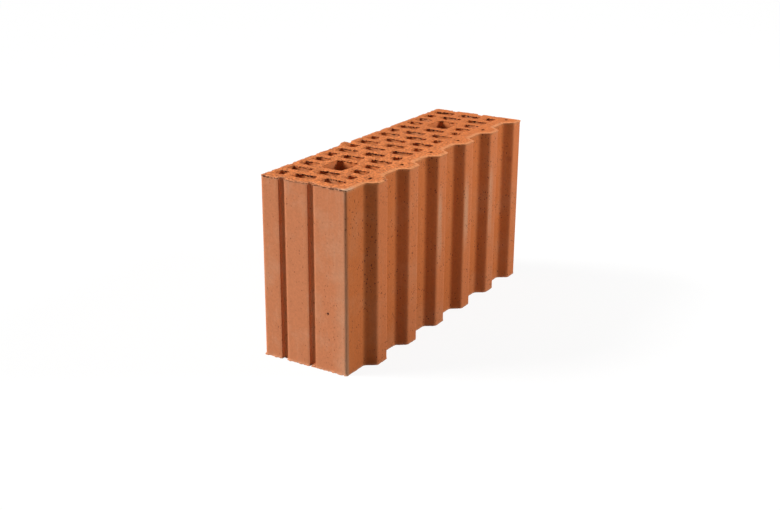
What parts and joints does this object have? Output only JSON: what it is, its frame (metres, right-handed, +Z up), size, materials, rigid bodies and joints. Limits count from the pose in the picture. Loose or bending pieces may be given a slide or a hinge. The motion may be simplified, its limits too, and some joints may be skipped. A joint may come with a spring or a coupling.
{
  "type": "hollow clay block",
  "caption": "Upright extruded clay wall block, perforated by staggered slots and hand holes, tongued down one long side and grooved for plaster on its ends.",
  "frame": {"origin": "under the middle of the block's bounding box, on the floor that it stands on", "axes": "+Z up along the perforations, +Y along the length, +X towards the tongues"},
  "size_m": [0.139, 0.44, 0.238],
  "materials": {
    "fired_clay": "matte fired terracotta, wire-cut on the bed faces and die-smooth on the sides"
  },
  "bodies": {
    "root": {"hollow_clay_block": "fired_clay"}
  },
  "joints": []
}
